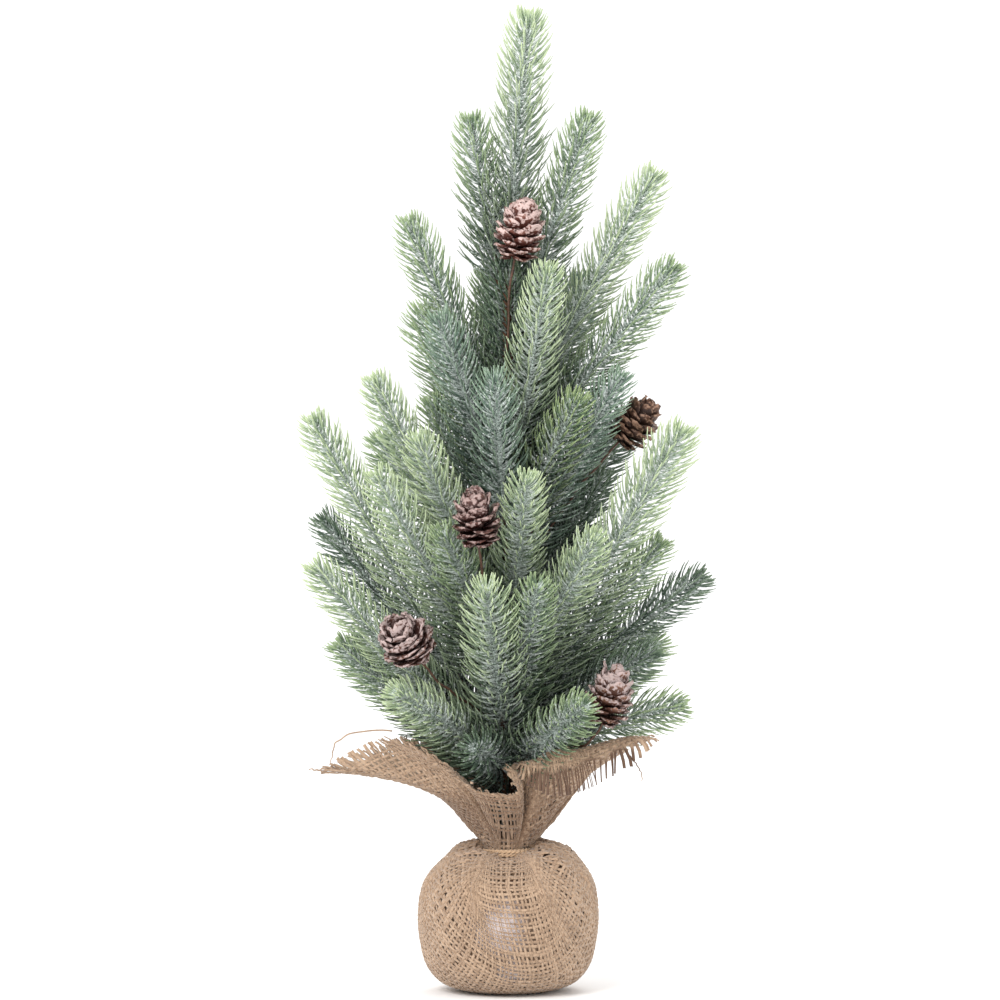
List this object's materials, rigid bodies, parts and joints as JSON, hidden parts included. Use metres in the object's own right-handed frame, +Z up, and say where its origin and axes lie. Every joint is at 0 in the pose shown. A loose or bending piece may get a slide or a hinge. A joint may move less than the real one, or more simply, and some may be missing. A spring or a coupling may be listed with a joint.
{
  "type": "artificial tabletop tree",
  "caption": "Slim tabletop spruce of frosted plastic sprigs and pine cones on a taped trunk, in a weighted burlap-wrapped base tied with jute twine.",
  "frame": {"origin": "middle of the flat underside of the burlap-wrapped base, on the table", "axes": "+Z up along the trunk, -Y towards the viewer, +X to the viewer's right"},
  "size_m": [0.2071, 0.1641, 0.4985],
  "materials": {
    "plaster": "matte",
    "rod_steel": "satin",
    "paper_tape": "matte",
    "burlap": "matte",
    "jute_twine": "matte",
    "frosted_needles": "matte",
    "cone_scales": "matte",
    "cone_wire": "satin"
  },
  "bodies": {
    "base": {"ballast_weight": "plaster", "burlap_wrap": "burlap", "twine_tie": "jute_twine", "trunk_rod": "rod_steel", "trunk_tape": "paper_tape"},
    "sprig_back_crown_left": {"sprig_back_crown_left": "frosted_needles"},
    "sprig_back_crown_right": {"sprig_back_crown_right": "frosted_needles"},
    "sprig_back_lower": {"sprig_back_lower": "frosted_needles"},
    "sprig_back_lower_left": {"sprig_back_lower_left": "frosted_needles"},
    "sprig_back_lower_right": {"sprig_back_lower_right": "frosted_needles"},
    "sprig_back_middle_left": {"sprig_back_middle_left": "frosted_needles"},
    "sprig_back_middle_right": {"sprig_back_middle_right": "frosted_needles"},
    "sprig_back_top": {"sprig_back_top": "frosted_needles"},
    "sprig_back_upper": {"sprig_back_upper": "frosted_needles"},
    "sprig_back_upper_left": {"sprig_back_upper_left": "frosted_needles"},
    "sprig_back_upper_right": {"sprig_back_upper_right": "frosted_needles"},
    "sprig_crown_back": {"sprig_crown_back": "frosted_needles"},
    "sprig_crown_front": {"sprig_crown_front": "frosted_needles"},
    "sprig_crown_front_left": {"sprig_crown_front_left": "frosted_needles"},
    "sprig_crown_left": {"sprig_crown_left": "frosted_needles"},
    "sprig_crown_right": {"sprig_crown_right": "frosted_needles"},
    "sprig_crown_right_low": {"sprig_crown_right_low": "frosted_needles"},
    "sprig_leader": {"sprig_leader": "frosted_needles"},
    "sprig_lower_front": {"sprig_lower_front": "frosted_needles"},
    "sprig_lower_front_flat": {"sprig_lower_front_flat": "frosted_needles"},
    "sprig_lower_front_inner": {"sprig_lower_front_inner": "frosted_needles"},
    "sprig_lower_front_left": {"sprig_lower_front_left": "frosted_needles"},
    "sprig_lower_front_right": {"sprig_lower_front_right": "frosted_needles"},
    "sprig_lower_left": {"sprig_lower_left": "frosted_needles"},
    "sprig_lower_left_flat": {"sprig_lower_left_flat": "frosted_needles"},
    "sprig_lower_right": {"sprig_lower_right": "frosted_needles"},
    "sprig_lower_right_flat": {"sprig_lower_right_flat": "frosted_needles"},
    "sprig_lower_right_inner": {"sprig_lower_right_inner": "frosted_needles"},
    "sprig_middle_front": {"sprig_middle_front": "frosted_needles"},
    "sprig_middle_front_left": {"sprig_middle_front_left": "frosted_needles"},
    "sprig_middle_front_right": {"sprig_middle_front_right": "frosted_needles"},
    "sprig_middle_left_back": {"sprig_middle_left_back": "frosted_needles"},
    "sprig_middle_left_front": {"sprig_middle_left_front": "frosted_needles"},
    "sprig_middle_left_long": {"sprig_middle_left_long": "frosted_needles"},
    "sprig_middle_right": {"sprig_middle_right": "frosted_needles"},
    "sprig_middle_right_low": {"sprig_middle_right_low": "frosted_needles"},
    "sprig_top_left": {"sprig_top_left": "frosted_needles"},
    "sprig_top_right": {"sprig_top_right": "frosted_needles"},
    "sprig_upper_front": {"sprig_upper_front": "frosted_needles"},
    "sprig_upper_front_left": {"sprig_upper_front_left": "frosted_needles"},
    "sprig_upper_front_right": {"sprig_upper_front_right": "frosted_needles"},
    "sprig_upper_left": {"sprig_upper_left": "frosted_needles"},
    "sprig_upper_left_back": {"sprig_upper_left_back": "frosted_needles"},
    "sprig_upper_right": {"sprig_upper_right": "frosted_needles"},
    "sprig_upper_right_back": {"sprig_upper_right_back": "frosted_needles"},
    "pine_cone_centre": {"pine_cone_centre": "cone_scales", "pine_cone_centre_wire": "cone_wire"},
    "pine_cone_left": {"pine_cone_left": "cone_scales", "pine_cone_left_wire": "cone_wire"},
    "pine_cone_low_right": {"pine_cone_low_right": "cone_scales", "pine_cone_low_right_wire": "cone_wire"},
    "pine_cone_right": {"pine_cone_right": "cone_scales", "pine_cone_right_wire": "cone_wire"},
    "pine_cone_top": {"pine_cone_top": "cone_scales", "pine_cone_top_wire": "cone_wire"}
  },
  "joints": [
    {"name": "sprig_back_crown_left_bend", "type": "hinge", "parent": "base", "child": "sprig_back_crown_left", "pos_m": [-0.00363, 0.00305, 0.252], "axis": [-0.6428, -0.7661, 0], "range_deg": [-8, 15]},
    {"name": "sprig_back_crown_right_bend", "type": "hinge", "parent": "base", "child": "sprig_back_crown_right", "pos_m": [0.00298, 0.00355, 0.272], "axis": [-0.7661, 0.6427, 0], "range_deg": [-8, 15]},
    {"name": "sprig_back_lower_bend", "type": "hinge", "parent": "base", "child": "sprig_back_lower", "pos_m": [0, 0.0055, 0.12], "axis": [-1, 0, 0], "range_deg": [-8, 15]},
    {"name": "sprig_back_lower_left_bend", "type": "hinge", "parent": "base", "child": "sprig_back_lower_left", "pos_m": [-0.00475, 0.00286, 0.112], "axis": [-0.515, -0.8572, 0], "range_deg": [-8, 15]},
    {"name": "sprig_back_lower_right_bend", "type": "hinge", "parent": "base", "child": "sprig_back_lower_right", "pos_m": [0.00457, 0.00297, 0.13], "axis": [-0.5446, 0.8387, 0], "range_deg": [-8, 15]},
    {"name": "sprig_back_middle_left_bend", "type": "hinge", "parent": "base", "child": "sprig_back_middle_left", "pos_m": [-0.00198, 0.00489, 0.16], "axis": [-0.9272, -0.3746, 0], "range_deg": [-8, 15]},
    {"name": "sprig_back_middle_right_bend", "type": "hinge", "parent": "base", "child": "sprig_back_middle_right", "pos_m": [0.00179, 0.00493, 0.165], "axis": [-0.9397, 0.342, 0], "range_deg": [-8, 15]},
    {"name": "sprig_back_top_bend", "type": "hinge", "parent": "base", "child": "sprig_back_top", "pos_m": [0.00076, 0.0043, 0.318], "axis": [-0.9848, 0.1737, 0], "range_deg": [-8, 15]},
    {"name": "sprig_back_upper_bend", "type": "hinge", "parent": "base", "child": "sprig_back_upper", "pos_m": [0, 0.00486, 0.232], "axis": [-1, 0, 0], "range_deg": [-8, 15]},
    {"name": "sprig_back_upper_left_bend", "type": "hinge", "parent": "base", "child": "sprig_back_upper_left", "pos_m": [-0.00386, 0.00324, 0.2], "axis": [-0.6428, -0.766, 0], "range_deg": [-8, 15]},
    {"name": "sprig_back_upper_right_bend", "type": "hinge", "parent": "base", "child": "sprig_back_upper_right", "pos_m": [0.00348, 0.00361, 0.205], "axis": [-0.7194, 0.6946, 0], "range_deg": [-8, 15]},
    {"name": "sprig_crown_back_bend", "type": "hinge", "parent": "base", "child": "sprig_crown_back", "pos_m": [-0.00183, 0.00431, 0.262], "axis": [-0.9205, -0.3908, 0], "range_deg": [-4, 15]},
    {"name": "sprig_crown_front_bend", "type": "hinge", "parent": "base", "child": "sprig_crown_front", "pos_m": [0.00234, -0.00406, 0.262], "axis": [0.866, 0.5, 0], "range_deg": [-5, 15]},
    {"name": "sprig_crown_front_left_bend", "type": "hinge", "parent": "base", "child": "sprig_crown_front_left", "pos_m": [-0.0038, -0.00286, 0.25], "axis": [0.6018, -0.7987, 0], "range_deg": [-8, 15]},
    {"name": "sprig_crown_left_bend", "type": "hinge", "parent": "base", "child": "sprig_crown_left", "pos_m": [-0.00448, -0.00071, 0.288], "axis": [0.1565, -0.9877, 0], "range_deg": [-8, 15]},
    {"name": "sprig_crown_right_bend", "type": "hinge", "parent": "base", "child": "sprig_crown_right", "pos_m": [0.00451, 0.00032, 0.29], "axis": [-0.0698, 0.9976, 0], "range_deg": [-8, 15]},
    {"name": "sprig_crown_right_low_bend", "type": "hinge", "parent": "base", "child": "sprig_crown_right_low", "pos_m": [0.00457, -0.00081, 0.27], "axis": [0.1737, 0.9848, 0], "range_deg": [-8, 15]},
    {"name": "sprig_leader_bend", "type": "hinge", "parent": "base", "child": "sprig_leader", "pos_m": [0, 0, 0.3644], "axis": [0, 1, 0], "range_deg": [-3, 8]},
    {"name": "sprig_lower_front_bend", "type": "hinge", "parent": "base", "child": "sprig_lower_front", "pos_m": [-0.00086, -0.00542, 0.122], "axis": [0.9877, -0.1565, 0], "range_deg": [-6, 15]},
    {"name": "sprig_lower_front_flat_bend", "type": "hinge", "parent": "base", "child": "sprig_lower_front_flat", "pos_m": [-0.0019, -0.00521, 0.112], "axis": [0.9397, -0.342, 0], "range_deg": [-8, 15]},
    {"name": "sprig_lower_front_inner_bend", "type": "hinge", "parent": "base", "child": "sprig_lower_front_inner", "pos_m": [0.00112, -0.00527, 0.14], "axis": [0.9781, 0.2079, 0], "range_deg": [-8, 15]},
    {"name": "sprig_lower_front_left_bend", "type": "hinge", "parent": "base", "child": "sprig_lower_front_left", "pos_m": [-0.00384, -0.00397, 0.116], "axis": [0.7193, -0.6947, 0], "range_deg": [-8, 14]},
    {"name": "sprig_lower_front_right_bend", "type": "hinge", "parent": "base", "child": "sprig_lower_front_right", "pos_m": [0.00269, -0.00485, 0.112], "axis": [0.8747, 0.4847, 0], "range_deg": [-8, 15]},
    {"name": "sprig_lower_left_bend", "type": "hinge", "parent": "base", "child": "sprig_lower_left", "pos_m": [-0.00538, -0.00124, 0.116], "axis": [0.225, -0.9744, 0], "range_deg": [-8, 3]},
    {"name": "sprig_lower_left_flat_bend", "type": "hinge", "parent": "base", "child": "sprig_lower_left_flat", "pos_m": [-0.00557, -0.00049, 0.104], "axis": [0.0871, -0.9962, 0], "range_deg": [-3, 15]},
    {"name": "sprig_lower_right_bend", "type": "hinge", "parent": "base", "child": "sprig_lower_right", "pos_m": [0.00538, 0.00066, 0.134], "axis": [-0.1219, 0.9925, 0], "range_deg": [-7, 15]},
    {"name": "sprig_lower_right_flat_bend", "type": "hinge", "parent": "base", "child": "sprig_lower_right_flat", "pos_m": [0.00551, 0.00019, 0.118], "axis": [-0.0348, 0.9994, 0], "range_deg": [-8, 15]},
    {"name": "sprig_lower_right_inner_bend", "type": "hinge", "parent": "base", "child": "sprig_lower_right_inner", "pos_m": [0.00537, -0.00095, 0.129], "axis": [0.1736, 0.9848, 0], "range_deg": [-8, 15]},
    {"name": "sprig_middle_front_bend", "type": "hinge", "parent": "base", "child": "sprig_middle_front", "pos_m": [0.00072, -0.00511, 0.18], "axis": [0.9903, 0.1392, 0], "range_deg": [-8, 15]},
    {"name": "sprig_middle_front_left_bend", "type": "hinge", "parent": "base", "child": "sprig_middle_front_left", "pos_m": [-0.00437, -0.00295, 0.16], "axis": [0.5592, -0.829, 0], "range_deg": [-8, 15]},
    {"name": "sprig_middle_front_right_bend", "type": "hinge", "parent": "base", "child": "sprig_middle_front_right", "pos_m": [0.00325, -0.00416, 0.158], "axis": [0.788, 0.6157, 0], "range_deg": [-8, 15]},
    {"name": "sprig_middle_left_back_bend", "type": "hinge", "parent": "base", "child": "sprig_middle_left_back", "pos_m": [-0.00524, 0.0017, 0.118], "axis": [-0.3091, -0.951, 0], "range_deg": [-8, 15]},
    {"name": "sprig_middle_left_front_bend", "type": "hinge", "parent": "base", "child": "sprig_middle_left_front", "pos_m": [-0.00269, -0.00448, 0.168], "axis": [0.8572, -0.515, 0], "range_deg": [-8, 15]},
    {"name": "sprig_middle_left_long_bend", "type": "hinge", "parent": "base", "child": "sprig_middle_left_long", "pos_m": [-0.00545, 0.00038, 0.126], "axis": [-0.0697, -0.9976, 0], "range_deg": [-8, 15]},
    {"name": "sprig_middle_right_bend", "type": "hinge", "parent": "base", "child": "sprig_middle_right", "pos_m": [0.0051, -0.00166, 0.145], "axis": [0.3091, 0.951, 0], "range_deg": [-8, 12]},
    {"name": "sprig_middle_right_low_bend", "type": "hinge", "parent": "base", "child": "sprig_middle_right_low", "pos_m": [0.00538, -0.00038, 0.139], "axis": [0.0697, 0.9976, 0], "range_deg": [-6, 10]},
    {"name": "sprig_top_left_bend", "type": "hinge", "parent": "base", "child": "sprig_top_left", "pos_m": [-0.00404, 0.00086, 0.358], "axis": [-0.208, -0.9781, 0], "range_deg": [-3, 15]},
    {"name": "sprig_top_right_bend", "type": "hinge", "parent": "base", "child": "sprig_top_right", "pos_m": [0.00429, -0.00022, 0.33], "axis": [0.0524, 0.9986, 0], "range_deg": [-5, 15]},
    {"name": "sprig_upper_front_bend", "type": "hinge", "parent": "base", "child": "sprig_upper_front", "pos_m": [-0.00077, -0.00485, 0.222], "axis": [0.9877, -0.1564, 0], "range_deg": [-8, 15]},
    {"name": "sprig_upper_front_left_bend", "type": "hinge", "parent": "base", "child": "sprig_upper_front_left", "pos_m": [-0.00381, -0.00343, 0.186], "axis": [0.669, -0.7432, 0], "range_deg": [-8, 11]},
    {"name": "sprig_upper_front_right_bend", "type": "hinge", "parent": "base", "child": "sprig_upper_front_right", "pos_m": [0.00354, -0.0033, 0.236], "axis": [0.6821, 0.7313, 0], "range_deg": [-8, 15]},
    {"name": "sprig_upper_left_bend", "type": "hinge", "parent": "base", "child": "sprig_upper_left", "pos_m": [-0.00499, -0.00088, 0.196], "axis": [0.1737, -0.9848, 0], "range_deg": [-8, 15]},
    {"name": "sprig_upper_left_back_bend", "type": "hinge", "parent": "base", "child": "sprig_upper_left_back", "pos_m": [-0.00481, 0.0012, 0.214], "axis": [-0.2419, -0.9703, 0], "range_deg": [-7, 15]},
    {"name": "sprig_upper_right_bend", "type": "hinge", "parent": "base", "child": "sprig_upper_right", "pos_m": [0.00459, -0.00176, 0.222], "axis": [0.3584, 0.9336, 0], "range_deg": [-5, 15]},
    {"name": "sprig_upper_right_back_bend", "type": "hinge", "parent": "base", "child": "sprig_upper_right_back", "pos_m": [0.00482, 0.00176, 0.184], "axis": [-0.3421, 0.9397, 0], "range_deg": [-8, 15]},
    {"name": "pine_cone_centre_bend", "type": "hinge", "parent": "base", "child": "pine_cone_centre", "pos_m": [-0.00118, -0.00486, 0.19], "axis": [0.9716, -0.2366, 0], "range_deg": [-8, 12]},
    {"name": "pine_cone_left_bend", "type": "hinge", "parent": "base", "child": "pine_cone_left", "pos_m": [-0.00341, -0.00405, 0.138], "axis": [0.765, -0.644, 0], "range_deg": [-8, 8]},
    {"name": "pine_cone_low_right_bend", "type": "hinge", "parent": "base", "child": "pine_cone_low_right", "pos_m": [0.00407, -0.00344, 0.133], "axis": [0.6458, 0.7635, 0], "range_deg": [-8, 12]},
    {"name": "pine_cone_right_bend", "type": "hinge", "parent": "base", "child": "pine_cone_right", "pos_m": [0.00486, -0.00029, 0.212], "axis": [0.0599, 0.9982, 0], "range_deg": [-6, 15]},
    {"name": "pine_cone_top_bend", "type": "hinge", "parent": "base", "child": "pine_cone_top", "pos_m": [0.00065, -0.00433, 0.298], "axis": [0.9889, 0.1484, 0], "range_deg": [-4, 15]}
  ]
}
